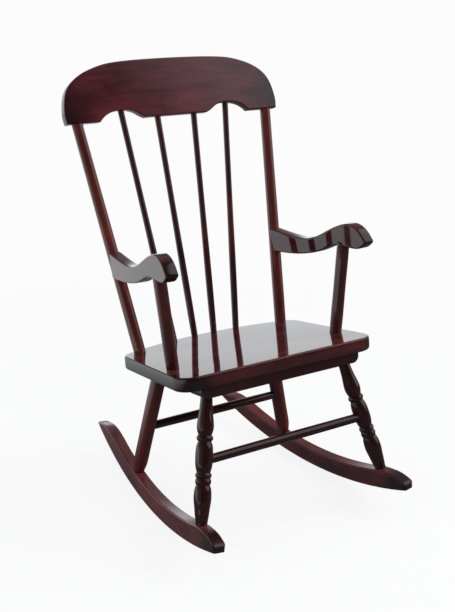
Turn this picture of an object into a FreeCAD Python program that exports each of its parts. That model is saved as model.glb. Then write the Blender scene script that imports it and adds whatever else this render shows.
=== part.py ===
"""Child's rocking chair in stained, lacquered wood.

A board seat on four splayed legs stands on two curved rockers. Two leaning posts and four slender spindles carry an
arched crest rail, and two scrolled arms run from the posts to turned supports at the front of the seat.
X is to the sitter's left and right, +Y to the back and +Z up. The origin is on the floor, midway along the rockers.
"""

import FreeCAD
import Part
import math
import os

V = FreeCAD.Vector

# Seat board: a tilted plank with a bowed rear edge. Its front edge sets where the rest of the chair stands.
seat_front_y = -144.25
seat_front_height = 273.5
seat_tilt = 9.5
seat_depth = 252.0
seat_front_width = 352.0
seat_taper = 20.0
seat_rear_width = seat_front_width - seat_taper
seat_rear_bow = 36.0
seat_front_corner = 28.0
seat_rear_corner = 25.0
seat_thickness = 22.0
seat_edge_round = 3.0
seat_lower_round = 6.0

# Batten under the seat's front, which stiffens the board where the front legs enter
batten_end_inset = 34.0
batten_length = seat_front_width - 2 * batten_end_inset
batten_width = 38.0
batten_height = 15.0
batten_recess = 6.0
batten_end_round = 11.0

# Rockers: flat boards with two arcs, canted with the legs and turned in towards the back
rocker_thickness = 20.0
rocker_mid_height = 27.8
rocker_floor_radius = 678.0
rocker_top_radius = 588.0
rocker_floor_y = 7.75
rocker_top_lead = -1.5
rocker_side_inset = 24.1
rocker_half_spread = seat_front_width / 2 - rocker_side_inset
rocker_toe_in = 5.4
rocker_cant = 5.2
rocker_length = 490.5
rocker_nose_length = 65.0
rocker_tail_length = 93.0
rocker_edge_round = 2.5
rocker_end_round = 7.0
nose_shares = [(0.308, 0.934), (0.585, 0.79), (0.82, 0.55), (0.979, 0.27), (0.989, 0.0)]
tail_shares = [(0.269, 0.966), (0.484, 0.835), (0.699, 0.56), (0.871, 0.257), (1.0, 0.0)]

# Front legs, turned with three vases and three rings
front_leg_radius = 13.0
front_leg_top_inset = 17.5
front_leg_top_back = 23.5
front_foot_lead = 37.5
front_leg_sections_shares = [
    [(0.0, 0.66), (0.105, 0.76), (0.184, 0.9), (0.239, 0.965), (0.279, 0.88), (0.31, 0.735)],
    [(0.31, 0.735), (0.318, 0.89), (0.331, 0.945), (0.344, 0.89), (0.352, 0.73)],
    [(0.352, 0.73), (0.382, 0.885), (0.422, 0.975), (0.48, 1.0), (0.541, 0.955), (0.577, 0.85), (0.599, 0.77)],
    [(0.599, 0.77), (0.607, 0.88), (0.619, 0.925), (0.631, 0.88), (0.64, 0.785)],
    [(0.64, 0.785), (0.653, 0.87), (0.667, 0.905), (0.681, 0.87), (0.692, 0.76)],
    [(0.692, 0.76), (0.719, 0.905), (0.756, 0.98), (0.792, 1.0), (0.828, 0.965), (0.877, 0.87), (0.923, 0.8),
     (0.958, 0.73), (1.0, 0.655)],
]

# Rear legs, plain and round with a turned-down foot
rear_leg_radius = 12.1
rear_leg_side_inset = 63.0
rear_leg_top_inset = 49.0
rear_foot_inset = 45.2
rear_leg_shares = [(0.0, 0.97), (0.2, 1.0), (0.5, 0.99), (0.8, 0.97), (0.905, 0.955), (0.95, 0.86), (1.0, 0.72)]

# Stretchers between the legs
stretcher_radius = 7.1
front_stretcher_share = 0.507
rear_stretcher_share = 0.585
stretcher_shares = [(0.0, 0.97), (0.25, 1.0), (0.5, 1.02), (0.75, 1.0), (1.0, 0.97)]

# Crest rail: a flat board with an arched top and two ogee arches in its lower edge
crest_overhang = 19.0
crest_half_width = seat_front_width / 2 + crest_overhang
crest_height = 96.0
crest_thickness = 15.0
crest_lean = 18.3
crest_setback = 66.4
crest_rise = 317.8
crest_edge_round = 2.5
crest_top_shares = [(0.996, 0.0), (1.005, 0.13), (1.0, 0.26), (0.986, 0.4), (0.962, 0.53), (0.926, 0.635),
                    (0.872, 0.73), (0.8, 0.815), (0.718, 0.88), (0.6, 0.945), (0.48, 0.975), (0.25, 0.995),
                    (0.0, 1.0)]
crest_arch_share = 0.172
crest_drop_share = 0.024
crest_arch_shares = [(0.708, 0.0), (0.676, 0.062), (0.628, 0.123), (0.56, 0.162), (0.487, crest_arch_share),
                     (0.425, 0.158), (0.374, 0.118), (0.334, 0.064), (0.292, crest_drop_share)]

# Back posts and spindles
post_base_inset = 30.2
post_inset = 16.5
post_top_inset = 19.5
post_radius = 9.6
post_shares = [(0.0, 0.985), (0.12, 1.0), (0.5, 0.975), (1.0, 0.93)]
spindle_radius = 5.7
spindle_inset = 10.5
spindle_base_x = {"inner": 18.6, "outer": 60.0}
spindle_top_x = {"inner": 33.8, "outer": 97.5}
spindle_top_shares = {"inner": crest_drop_share, "outer": crest_arch_share}
spindle_shares = [(0.0, 0.93), (0.12, 0.98), (0.26, 1.0), (0.4, 0.95), (0.5, 0.9), (1.0, 0.89)]

# Arms and their supports
arm_thickness = 20.0
arm_turn = 5.3
arm_front_inset = 24.5
arm_low_rise = 83.9
arm_rise = 85.2
arm_end_setback = 3.0
arm_rear_share = 0.448
arm_under_share = 0.545
arm_edge_round = 2.5
arm_shares = [(0.84, 0.436), (0.7, 0.44), (0.58, 0.482), (0.45, 0.632), (0.35, 0.795), (0.25, 0.93),
              (0.165, 0.99), (0.107, 0.965), (0.066, 0.91), (0.035, 0.842), (0.013, 0.783), (0.001, 0.74),
              (0.002, 0.712), (0.014, 0.672), (0.039, 0.612), (0.075, 0.57), (0.124, 0.55),
              (0.2, arm_under_share), (0.275, 0.52), (0.35, 0.44), (0.45, 0.3), (0.565, 0.187),
              (0.7, 0.095), (0.82, 0.042)]
support_radius = 9.9
support_base_inset = 26.0
support_base_back = 73.0
support_top_inset = 2.5
support_setback = 55.0
support_shares = [(0.0, 0.97), (0.2, 1.0), (0.5, 0.98), (0.8, 1.0), (1.0, 0.99)]

# Joints: round tenons in blind holes
tenon_share = 0.6
support_tenon_share = 0.5
tenon_clearance = 0.15
tenon_end_gap = 0.6
seat_tenon_depth = 13.0
rocker_tenon_depth = 12.0
stretcher_tenon_reach = 5.5
crest_tenon_depth = 20.0
arm_tenon_depth = 14.0
overrun = 6.0

# Countersunk wood screws
screw_radius = 1.9
screw_head_radius = 3.8
screw_head_height = 2.6
screw_clearance = 0.1
screw_sink = 1.0
rocker_screw_sink = 1.8
rocker_screw_length = 36.0
batten_screw_length = 30.0
arm_screw_length = 42.0
batten_screw_shares = [-0.33, -0.11, 0.11, 0.33]
batten_screw_back_share = 0.66

# Edges are told apart by their length along an axis, within this tolerance
edge_tolerance = 0.01
screw_search_steps = 8


def on_seat(x, back, above=0.0):
    """Gives the point at x, at a distance back from the seat's front edge and above the seat's top face."""
    tilt = math.radians(seat_tilt)
    y = seat_front_y + back * math.cos(tilt) + above * math.sin(tilt)
    z = seat_front_height - back * math.sin(tilt) + above * math.cos(tilt)
    return V(x, y, z)


def seat_placed(shape):
    """Moves a shape from the seat's own frame (x, back, above) to its place in the chair."""
    turn = FreeCAD.Rotation(V(1, 0, 0), -seat_tilt)
    shape.Placement = FreeCAD.Placement(on_seat(0.0, 0.0), turn)
    return shape


def rear_edge(x):
    """Gives how far back the seat's bowed rear edge is at x."""
    half = seat_rear_width / 2
    radius = (half ** 2 + seat_rear_bow ** 2) / (2 * seat_rear_bow)
    return seat_depth - radius + math.sqrt(radius ** 2 - x ** 2)


def on_crest(x, height, depth):
    """Gives the point at x, at a height up the crest's front face and a depth behind it."""
    lean = math.radians(crest_lean)
    y = seat_front_y + seat_depth + crest_setback + height * math.sin(lean) + depth * math.cos(lean)
    z = seat_front_height + crest_rise + height * math.cos(lean) - depth * math.sin(lean)
    return V(x, y, z)


def floor_arc(along):
    """Gives the height of a rocker's lower edge at a distance along it."""
    offset = along - rocker_floor_y
    return rocker_floor_radius - math.sqrt(rocker_floor_radius ** 2 - offset ** 2)


def top_arc(along):
    """Gives the height of a rocker's upper edge at a distance along it."""
    offset = along - rocker_floor_y + rocker_top_lead
    return rocker_mid_height + rocker_top_radius - math.sqrt(rocker_top_radius ** 2 - offset ** 2)


def rocker_place():
    """Gives where the right rocker's own frame is: canted, toed in and lifted to stand on its inner edge."""
    cant = math.radians(rocker_cant)
    reach = rocker_thickness / 2 - rocker_edge_round
    drop = rocker_mid_height - rocker_edge_round
    lift = reach * math.sin(cant) - drop * (1 - math.cos(cant))
    turn = FreeCAD.Rotation(V(0, 0, 1), rocker_toe_in).multiply(FreeCAD.Rotation(V(0, 1, 0), -rocker_cant))
    return FreeCAD.Placement(V(rocker_half_spread, 0, lift), turn, V(0, 0, rocker_mid_height))


def on_rocker(along):
    """Gives the point on the right rocker's upper edge at a distance along it."""
    return rocker_place().multVec(V(0, along, top_arc(along)))


def spline(points):
    """Gives a smooth edge through points."""
    curve = Part.BSplineCurve()
    curve.interpolate(points)
    return curve.toShape()


def onward(direction, points):
    """Gives a smooth edge through points that starts in a direction, in line with the edge before it."""
    curve = Part.BSplineCurve()
    last = (points[-1] - points[-2]).normalize()
    curve.interpolate(Points=points, InitialTangent=direction, FinalTangent=last)
    return curve.toShape()


def arc(first, middle, last):
    """Gives the arc through three points."""
    return Part.Arc(first, middle, last).toShape()


def board(edges, thickness):
    """Extrudes a closed outline in the YZ plane to a board centred on X."""
    face = Part.Face(Part.Wire(Part.__sortEdges__(edges)))
    face.translate(V(-thickness / 2, 0, 0))
    return face.extrude(V(thickness, 0, 0))


def main_piece(shape):
    """Keeps the largest solid of a shape."""
    return max(shape.Solids, key=lambda solid: solid.Volume)


def trimmed(shape, *spaces):
    """Cuts a rod back to the faces that it stands against."""
    for space in spaces:
        shape = shape.cut(space)
    return main_piece(shape)


def joined(shape, *others):
    """Fuses a rod with its tenons."""
    for other in others:
        shape = shape.fuse(other)
    return main_piece(shape.removeSplitter())


def cut_from(shape, tools):
    """Cuts holes in a shape."""
    return main_piece(shape.cut(Part.makeCompound(tools)))


def rounded(shape, edges, radius):
    """Rounds edges of a shape, or leaves them square where the shape is too small for it."""
    try:
        result = shape.makeFillet(radius, edges)
        if result.isValid() and result.Solids:
            return main_piece(result)
    except Part.OCCError:
        pass
    return shape


def mirrored(shape):
    """Gives the same piece on the chair's other side."""
    return shape.mirror(V(0, 0, 0), V(1, 0, 0))


def flipped(point):
    """Gives the point on the chair's other side."""
    return V(-point.x, point.y, point.z)


def aligned(shape, start, end):
    """Moves a shape built along +Z from the origin so that it runs from start towards end."""
    shape.Placement = FreeCAD.Placement(start, FreeCAD.Rotation(V(0, 0, 1), end - start))
    return shape


def turned(sections, radius, start, end, extra=0.0):
    """Turns a rod from start to end through shares of its length and radius, longer by extra at both ends."""
    length = (end - start).Length
    edges = []
    for section in sections:
        edges.append(spline([V(radius * share, 0, length * along) for along, share in section]))
    foot, head = radius * sections[0][0][1], radius * sections[-1][-1][1]
    outline = [V(foot, 0, 0), V(foot, 0, -extra), V(0, 0, -extra), V(0, 0, length + extra),
               V(head, 0, length + extra), V(head, 0, length)]
    for first, last in zip(outline, outline[1:]):
        if (last - first).Length > 0:
            edges.append(Part.makeLine(first, last))
    face = Part.Face(Part.Wire(Part.__sortEdges__(edges)))
    rod = face.revolve(V(0, 0, 0), V(0, 0, 1), 360)
    if rod.Volume < 0:
        rod.reverse()
    return aligned(rod, start, end)


def pin(radius, start, direction, depth, inside=0.0):
    """Gives a round tenon from start along direction, reaching back inside the rod."""
    axis = V(direction).normalize()
    first = start - axis * inside
    return aligned(Part.makeCylinder(radius, depth + inside), first, first + axis)


def socket(radius, start, direction, depth):
    """Gives the hole for a tenon, open by an overrun at its mouth."""
    return pin(radius + tenon_clearance, start, direction, depth + tenon_end_gap, overrun)


def screw(head, tip, length, clearance=0.0):
    """Gives a countersunk screw of a length from its head towards tip, or the hole that it sits in."""
    top = Part.makeCone(screw_head_radius + clearance, screw_radius + clearance, screw_head_height)
    shank = Part.makeCylinder(screw_radius + clearance, length + clearance)
    body = top.fuse(shank)
    if clearance > 0:
        body = body.fuse(Part.makeCylinder(screw_head_radius + clearance, overrun, V(0, 0, -overrun)))
    return aligned(body, head, tip)


# Lines that the rods follow, on the chair's right side
def leg_lines():
    """Gives the top and foot of a front leg and of a rear leg, at the faces that they stand between."""
    front_top = on_seat(batten_length / 2 - front_leg_top_inset, front_leg_top_back, -seat_thickness - batten_height)
    rear_x = seat_rear_width / 2 - rear_leg_side_inset
    rear_top = on_seat(rear_x, seat_depth - rear_leg_top_inset, -seat_thickness)
    front_foot = on_rocker(seat_front_y - front_foot_lead)
    rear_foot = on_rocker(seat_front_y + seat_depth - rear_foot_inset)
    return {"front": (front_top, front_foot), "rear": (rear_top, rear_foot)}


def post_line():
    """Gives the base and top of a back post."""
    x = seat_rear_width / 2 - post_base_inset
    base = on_seat(x, rear_edge(x) - post_inset)
    return base, on_crest(crest_half_width - post_top_inset, 0.0, crest_thickness / 2)


def spindle_line(which):
    """Gives the base and top of a spindle."""
    x = spindle_base_x[which]
    height = crest_height * spindle_top_shares[which]
    return on_seat(x, rear_edge(x) - spindle_inset), on_crest(spindle_top_x[which], height, crest_thickness / 2)


def arm_height(share):
    """Gives the height at a share of the arm's rise."""
    return seat_front_height + arm_low_rise + arm_rise * share


def along_line(line, share):
    """Gives the point at a share of the way along a line."""
    return line[0] + (line[1] - line[0]) * share


def on_post(height):
    """Gives the point on the right back post's axis at a height."""
    base, top = post_line()
    return along_line((base, top), (height - base.z) / (top.z - base.z))


def arm_half_spread():
    """Gives the distance of the right arm's middle line from the chair's middle at y 0, so that it meets the post."""
    joint = on_post(arm_height(arm_rear_share / 2))
    return joint.x + joint.y * math.tan(math.radians(arm_turn))


def support_line():
    """Gives the base and top of an arm support."""
    turn = math.radians(arm_turn)
    along = seat_front_y + arm_front_inset + support_setback
    base = on_seat(seat_front_width / 2 - support_base_inset, support_base_back)
    top_x = arm_half_spread() - along * math.sin(turn) - support_top_inset
    return base, V(top_x, along * math.cos(turn), arm_height(arm_under_share))


# Spaces that the rods are trimmed to, and the boards themselves
def seat_outline():
    """Gives the seat's outline in its own frame as a face."""
    front, rear = seat_front_width / 2, seat_rear_width / 2
    corner = seat_depth - seat_rear_bow
    points = [V(-front, 0, 0), V(front, 0, 0), V(rear, corner, 0), V(-rear, corner, 0)]
    edges = [Part.makeLine(points[0], points[1]), Part.makeLine(points[1], points[2]),
             arc(points[2], V(0, seat_depth, 0), points[3]), Part.makeLine(points[3], points[0])]
    return Part.Face(Part.Wire(edges))


def uprights(slab):
    """Gives the straight upright edges of a slab's corners."""
    boxes = [(edge, edge.BoundBox) for edge in slab.Edges]
    return [edge for edge, box in boxes if max(box.XLength, box.YLength) < edge_tolerance]


def level_edges(slab, height):
    """Gives the edges of a slab that lie level at a height."""
    boxes = [(edge, edge.BoundBox) for edge in slab.Edges]
    return [edge for edge, box in boxes if max(abs(box.ZMin - height), abs(box.ZMax - height)) < edge_tolerance]


def seat_blank():
    """Builds the seat board without its holes."""
    slab = seat_outline().extrude(V(0, 0, -seat_thickness))
    front = [edge for edge in uprights(slab) if edge.BoundBox.Center.y < seat_depth / 2]
    slab = rounded(slab, front, seat_front_corner)
    rear = [edge for edge in uprights(slab) if edge.BoundBox.Center.y > seat_depth / 2]
    slab = rounded(slab, rear, seat_rear_corner)
    slab = rounded(slab, level_edges(slab, 0.0), seat_edge_round)
    return seat_placed(rounded(slab, level_edges(slab, -seat_thickness), seat_lower_round))


def seat_space(lower, upper):
    """Gives the space between two heights above the seat's top face, wider than the seat."""
    width, depth = 2 * seat_front_width, 3 * seat_depth
    return seat_placed(Part.makeBox(width, depth, upper - lower, V(-width / 2, -seat_depth, lower)))


def batten_blank():
    """Builds the batten without its holes, its ends rounded below."""
    bar = Part.makeBox(batten_length, batten_width, batten_height,
                       V(-batten_length / 2, batten_recess, -seat_thickness - batten_height))
    low = [edge for edge in bar.Edges if edge.BoundBox.YLength > batten_width - edge_tolerance
           and edge.BoundBox.ZMax < -seat_thickness - edge_tolerance]
    return seat_placed(rounded(bar, low, batten_end_round))


def rocker_blank(thickness, edge_round=0.0):
    """Builds a right rocker of a thickness without its holes."""
    def end(start, tip, shares):
        height = top_arc(start) - floor_arc(start)
        level = [start + along * (tip - start) for along, _ in shares]
        return [V(0, y, floor_arc(y) + share * height) for y, (_, share) in zip(level, shares)]

    def slope(along):
        offset = along - rocker_floor_y + rocker_top_lead
        return V(0, math.sqrt(rocker_top_radius ** 2 - offset ** 2), offset).normalize()

    half = rocker_length / 2
    nose_start, tail_start = rocker_nose_length - half, half - rocker_tail_length
    nose, tail = end(nose_start, -half, nose_shares), end(tail_start, half, tail_shares)
    top = [V(0, along, top_arc(along)) for along in (nose_start, rocker_floor_y - rocker_top_lead, tail_start)]
    edges = [arc(*top), onward(slope(tail_start), [top[2]] + tail), arc(tail[-1], V(0, rocker_floor_y, 0), nose[-1]),
             onward(-slope(nose_start), [top[0]] + nose)]
    blank = board(edges, thickness)
    if edge_round > 0:
        blank = rounded(blank, side_edges(blank, thickness), edge_round)
        plan = Part.makeBox(thickness, rocker_length, rocker_length, V(-thickness / 2, -rocker_length / 2, 0))
        blank = main_piece(blank.common(rounded(plan, uprights(plan), rocker_end_round)))
    blank.Placement = rocker_place().multiply(blank.Placement)
    return blank


def side_edges(blank, thickness):
    """Gives the edges of an upright board's two faces."""
    return [edge for edge in blank.Edges if edge.BoundBox.XLength < thickness / 2]


def crest_blank(thickness, front, edge_round=0.0):
    """Builds the crest of a thickness whose front face is at a depth from the rail's own."""
    def at(pair):
        return V(pair[0] * crest_half_width, front, pair[1] * crest_height)

    def across(points):
        return [V(-point.x, point.y, point.z) for point in reversed(points)]

    top = [at(pair) for pair in crest_top_shares]
    arch = [at(pair) for pair in crest_arch_shares]
    edges = [spline(top + across(top)[1:]), spline(arch), spline(across(arch)), Part.makeLine(top[0], arch[0]),
             Part.makeLine(arch[-1], across(arch)[0]), Part.makeLine(across(arch)[-1], across(top)[-1])]
    blank = Part.Face(Part.Wire(Part.__sortEdges__(edges))).extrude(V(0, thickness, 0))
    if edge_round > 0:
        sides = [edge for edge in blank.Edges if edge.BoundBox.YLength < thickness / 2]
        blank = rounded(blank, sides, edge_round)
    blank.Placement = FreeCAD.Placement(on_crest(0.0, 0.0, 0.0), FreeCAD.Rotation(V(1, 0, 0), -crest_lean))
    return blank


def arm_blank(thickness, edge_round=0.0):
    """Builds the right arm of a thickness without its holes, its rear end in line with the post."""
    high = arm_height(arm_rear_share)
    rear_top = V(0, on_post(high).y - arm_end_setback, high)
    rear_low = V(0, on_post(arm_height(0)).y - arm_end_setback, arm_height(0))
    front = seat_front_y + arm_front_inset
    points = [V(0, front + along * (rear_top.y - front), arm_height(share)) for along, share in arm_shares]
    blank = board([spline([rear_top] + points + [rear_low]), Part.makeLine(rear_low, rear_top)], thickness)
    if edge_round > 0:
        sides = [edge for edge in side_edges(blank, thickness) if edge.Length > 2 * arm_rise]
        blank = rounded(blank, sides, edge_round)
    blank.rotate(V(0, 0, 0), V(0, 0, 1), arm_turn)
    blank.translate(V(arm_half_spread(), 0, 0))
    return blank


# Rods
def leg(line, sections, radius, roof, floor, upper_depth):
    """Builds a leg between the face under roof and the rocker, with a tenon at both ends."""
    top, foot = line
    rod = trimmed(turned(sections, radius, top, foot, overrun), roof, floor)
    small = tenon_share * radius * min(sections[0][0][1], sections[-1][-1][1])
    upper = pin(small, top, top - foot, upper_depth, overrun)
    lower = pin(small, foot, foot - top, rocker_tenon_depth, overrun)
    holes = [socket(small, top, top - foot, upper_depth), socket(small, foot, foot - top, rocker_tenon_depth)]
    return joined(rod, upper, lower), holes


def rod_between(line, shares, radius, depths, low_space, high_space, thin_share=tenon_share):
    """Builds a round rod standing between two faces, with tenons of two depths."""
    base, top = line
    rod = trimmed(turned([shares], radius, base, top, overrun), low_space, high_space)
    small = thin_share * radius
    lower = pin(small, base, base - top, depths[0], overrun)
    upper = pin(small, top, top - base, depths[1], overrun)
    holes = [socket(small, base, base - top, depths[0]), socket(small, top, top - base, depths[1])]
    return joined(rod, lower, upper), holes


def stretcher(line, share, legs):
    """Builds a stretcher between a pair of legs at a share of their length."""
    right = along_line(line, share)
    left = flipped(right)
    rod = turned([stretcher_shares], stretcher_radius, left, right)
    rod = trimmed(rod, *legs)
    small = tenon_share * stretcher_radius
    reach = V(stretcher_tenon_reach, 0, 0)
    gap = V(tenon_end_gap, 0, 0)
    span = right - left
    bar = pin(small, left - reach, span, (span + 2 * reach).Length)
    hole = pin(small + tenon_clearance, left - reach - gap, span, (span + 2 * reach + 2 * gap).Length)
    return joined(rod, bar), hole


def rocker_screw(line):
    """Gives the head and tip of the screw that holds a leg on its rocker, in the rocker's middle plane."""
    top, foot = line
    place = rocker_place()
    aside = place.Rotation.multVec(V(1, 0, 0))
    axis = (top - foot).normalize()
    axis = (axis - aside * axis.dot(aside)).normalize()
    head = V(foot)
    for _ in range(screw_search_steps):
        own = place.inverse().multVec(head)
        head = head - axis * ((own.z - floor_arc(own.y)) / axis.z)
    return head + axis * rocker_screw_sink, foot


spaces = {
    "seat": seat_space(-seat_thickness, 0.0),
    "batten": seat_space(-seat_thickness - batten_height, 0.0),
    "rocker": rocker_blank(3 * rocker_thickness),
    "crest": crest_blank(3 * crest_thickness, -crest_thickness),
    "arm": arm_blank(3 * arm_thickness),
}


def build():
    """Builds every node of the chair."""
    lines = leg_lines()
    nodes = {}
    holes = {"seat": [], "batten": [], "rocker": [], "crest": [], "arm": []}

    # Legs and stretchers
    front, front_holes = leg(lines["front"], front_leg_sections_shares, front_leg_radius, spaces["batten"],
                             spaces["rocker"], seat_tenon_depth + batten_height)
    rear, rear_holes = leg(lines["rear"], [rear_leg_shares], rear_leg_radius, spaces["seat"], spaces["rocker"],
                           seat_tenon_depth)
    holes["seat"] += [front_holes[0], rear_holes[0]]
    holes["batten"] += [front_holes[0]]
    holes["rocker"] += [front_holes[1], rear_holes[1]]
    front_bar, front_bore = stretcher(lines["front"], front_stretcher_share, [front, mirrored(front)])
    rear_bar, rear_bore = stretcher(lines["rear"], rear_stretcher_share, [rear, mirrored(rear)])
    rocker_screws = []
    legs = {"front": front.cut(front_bore), "rear": rear.cut(rear_bore)}
    for name, line in lines.items():
        head, tip = rocker_screw(line)
        rocker_screws.append(screw(head, tip, rocker_screw_length))
        hole = screw(head, tip, rocker_screw_length, screw_clearance)
        holes["rocker"].append(hole)
        legs[name] = main_piece(legs[name].cut(hole))
    for name in ("front", "rear"):
        nodes[name + "_leg_right"] = legs[name]
        nodes[name + "_leg_left"] = mirrored(legs[name])
    nodes["front_stretcher"] = front_bar
    nodes["rear_stretcher"] = rear_bar
    nodes["rocker_screws"] = Part.makeCompound(rocker_screws + [mirrored(shape) for shape in rocker_screws])

    # Posts, spindles and arm supports
    post, post_holes = rod_between(post_line(), post_shares, post_radius, (seat_tenon_depth, crest_tenon_depth),
                                   spaces["seat"], spaces["crest"])
    support, support_holes = rod_between(support_line(), support_shares, support_radius,
                                         (seat_tenon_depth, arm_tenon_depth), spaces["seat"], spaces["arm"],
                                         support_tenon_share)
    holes["seat"] += [post_holes[0], support_holes[0]]
    holes["crest"] += [post_holes[1]]
    for which in ("outer", "inner"):
        spindle, spindle_holes = rod_between(spindle_line(which), spindle_shares, spindle_radius,
                                             (seat_tenon_depth, crest_tenon_depth), spaces["seat"], spaces["crest"])
        holes["seat"] += [spindle_holes[0]]
        holes["crest"] += [spindle_holes[1]]
        nodes["spindle_" + which + "_right"] = spindle
        nodes["spindle_" + which + "_left"] = mirrored(spindle)
    nodes["arm_support_right"] = support
    nodes["arm_support_left"] = mirrored(support)

    # Arms, coped to the posts and screwed on from behind
    turn = math.radians(arm_turn)
    forward = V(math.sin(turn), -math.cos(turn), 0)
    head = on_post(arm_height(arm_rear_share / 2)) - forward * (post_radius - screw_sink)
    arm_screw = screw(head, head + forward, arm_screw_length)
    arm_bore = screw(head, head + forward, arm_screw_length, screw_clearance)
    cope = turned([[(along, share + tenon_clearance / post_radius) for along, share in post_shares]], post_radius,
                  *post_line())
    arm = cut_from(arm_blank(arm_thickness, arm_edge_round), [cope, support_holes[1], arm_bore])
    post = main_piece(post.cut(arm_bore))
    nodes["back_post_right"] = post
    nodes["back_post_left"] = mirrored(post)
    nodes["arm_right"] = arm
    nodes["arm_left"] = mirrored(arm)
    nodes["arm_screws"] = Part.makeCompound([arm_screw, mirrored(arm_screw)])

    # Batten and its screws
    screws = []
    for share in batten_screw_shares:
        spot = (share * batten_length, batten_recess + batten_screw_back_share * batten_width)
        head = on_seat(*spot, screw_sink - seat_thickness - batten_height)
        tip = on_seat(*spot)
        screws.append(screw(head, tip, batten_screw_length))
        holes["batten"].append(screw(head, tip, batten_screw_length, screw_clearance))
        holes["seat"].append(screw(head, tip, batten_screw_length, screw_clearance))
    nodes["batten_screws"] = Part.makeCompound(screws)

    # Boards
    both = {name: tools + [mirrored(tool) for tool in tools] for name, tools in holes.items()}
    nodes["seat"] = cut_from(seat_blank(), both["seat"])
    nodes["front_batten"] = cut_from(batten_blank(), both["batten"])
    nodes["crest_rail"] = cut_from(crest_blank(crest_thickness, 0.0, crest_edge_round), both["crest"])
    rocker = cut_from(rocker_blank(rocker_thickness, rocker_edge_round), holes["rocker"])
    nodes["rocker_right"] = rocker
    nodes["rocker_left"] = mirrored(rocker)
    return nodes


os.makedirs("parts", exist_ok=True)
for node, shape in build().items():
    shape.exportStep("parts/" + node + ".step")
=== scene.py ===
"""Dresses a child's rocking chair: turned and sawn wood under a red-brown stain and a clear gloss lacquer.

All lengths are in metres, in the part's own frame: +X to the right seen from the front, +Y to the back, +Z up,
with the origin on the floor midway along the rockers.
"""

import logging
import math
from dataclasses import dataclass
from enum import Enum
from functools import partial
from typing import Any, Sequence

import bpy
import numpy as np
from mathutils import Euler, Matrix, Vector


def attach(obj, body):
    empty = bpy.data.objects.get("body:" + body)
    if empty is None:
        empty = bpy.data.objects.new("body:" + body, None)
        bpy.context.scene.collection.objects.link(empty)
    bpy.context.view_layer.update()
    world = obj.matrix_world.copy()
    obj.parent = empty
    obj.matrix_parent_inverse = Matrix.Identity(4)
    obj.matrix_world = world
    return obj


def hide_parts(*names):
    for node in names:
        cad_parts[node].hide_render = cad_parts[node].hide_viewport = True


LOG = logging.getLogger("chair")
Array = np.ndarray
Pair = tuple[float, float]
Triple = tuple[float, float, float]
Colour = Triple
Socket = bpy.types.NodeSocket

MOSTLY_Y = 0.7  # an axis with a larger Y part has its side direction taken from X
MEAN_SPAN = 24  # the running mean of a radius reaches one part in this many each way
FULL_GROOVE = 0.12  # a groove this deep, as a share of the radius, gathers the most stain
INNER_RING = 0.3  # one more ring lies this share of the edge's radius inside the edge

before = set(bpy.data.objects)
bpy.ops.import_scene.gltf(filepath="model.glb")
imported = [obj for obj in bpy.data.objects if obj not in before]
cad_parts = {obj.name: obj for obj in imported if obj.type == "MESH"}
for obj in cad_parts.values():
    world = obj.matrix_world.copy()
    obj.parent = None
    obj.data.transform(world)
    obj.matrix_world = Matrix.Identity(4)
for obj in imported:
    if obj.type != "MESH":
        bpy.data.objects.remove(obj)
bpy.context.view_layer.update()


# Surfaces

@dataclass
class Shell:
    """A closed surface.

    Attributes:
        points: Its points, one row of x, y, z each.
        faces: Its faces, as rows of point numbers.
        flat: How many of the last faces are flat.
        gathered: How much stain gathers at each point, from 0 to 1.
    """

    points: Array
    faces: list[list[int]]
    flat: int = 2
    gathered: Array | float = 0.0


def spline_through(points: Array, count: int) -> Array:
    """Draws a smooth curve through points.

    Formula: each coordinate is a natural cubic spline of the chord length summed along the points, whose second
    derivatives solve one tridiagonal system.

    Args:
        points: The points that the curve passes, one a row.
        count: How many points to give.

    Returns:
        Points evenly spaced in chord length, from the first point to the last.
    """
    points = np.asarray(points, float)
    steps = np.linalg.norm(np.diff(points, axis=0), axis=1)
    knots = np.concatenate([[0.0], np.cumsum(steps)])
    inner = np.arange(1, len(points) - 1)
    system = np.eye(len(points))
    system[inner, inner - 1] = steps[:-1]
    system[inner, inner] = 2 * (steps[:-1] + steps[1:])
    system[inner, inner + 1] = steps[1:]
    turns = np.zeros_like(points)
    turns[inner] = 6 * np.diff(np.diff(points, axis=0) / steps[:, None], axis=0)
    bend = np.linalg.solve(system, turns)
    at = np.linspace(0.0, knots[-1], count)
    k = np.clip(np.searchsorted(knots, at, side="right") - 1, 0, len(steps) - 1)
    width = steps[k][:, None]
    a = (knots[k + 1] - at)[:, None] / width
    b = 1 - a
    curved = ((a ** 3 - a) * bend[k] + (b ** 3 - b) * bend[k + 1]) * width ** 2 / 6
    return a * points[k] + b * points[k + 1] + curved


def ring_faces(rings: int, around: int) -> Array:
    """Gives the faces between rings of points.

    Formula: face (i, j) joins points j and j + 1 of ring i to those of ring i + 1, with j counted round.

    Args:
        rings: How many rings there are.
        around: How many points each ring has.

    Returns:
        One face of four point numbers a row.
    """
    i, j = np.meshgrid(np.arange(rings - 1), np.arange(around), indexing="ij")
    ahead = (j + 1) % around
    here, above = i * around, (i + 1) * around
    return np.stack([here + j, here + ahead, above + ahead, above + j], axis=-1).reshape(-1, 4)


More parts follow.
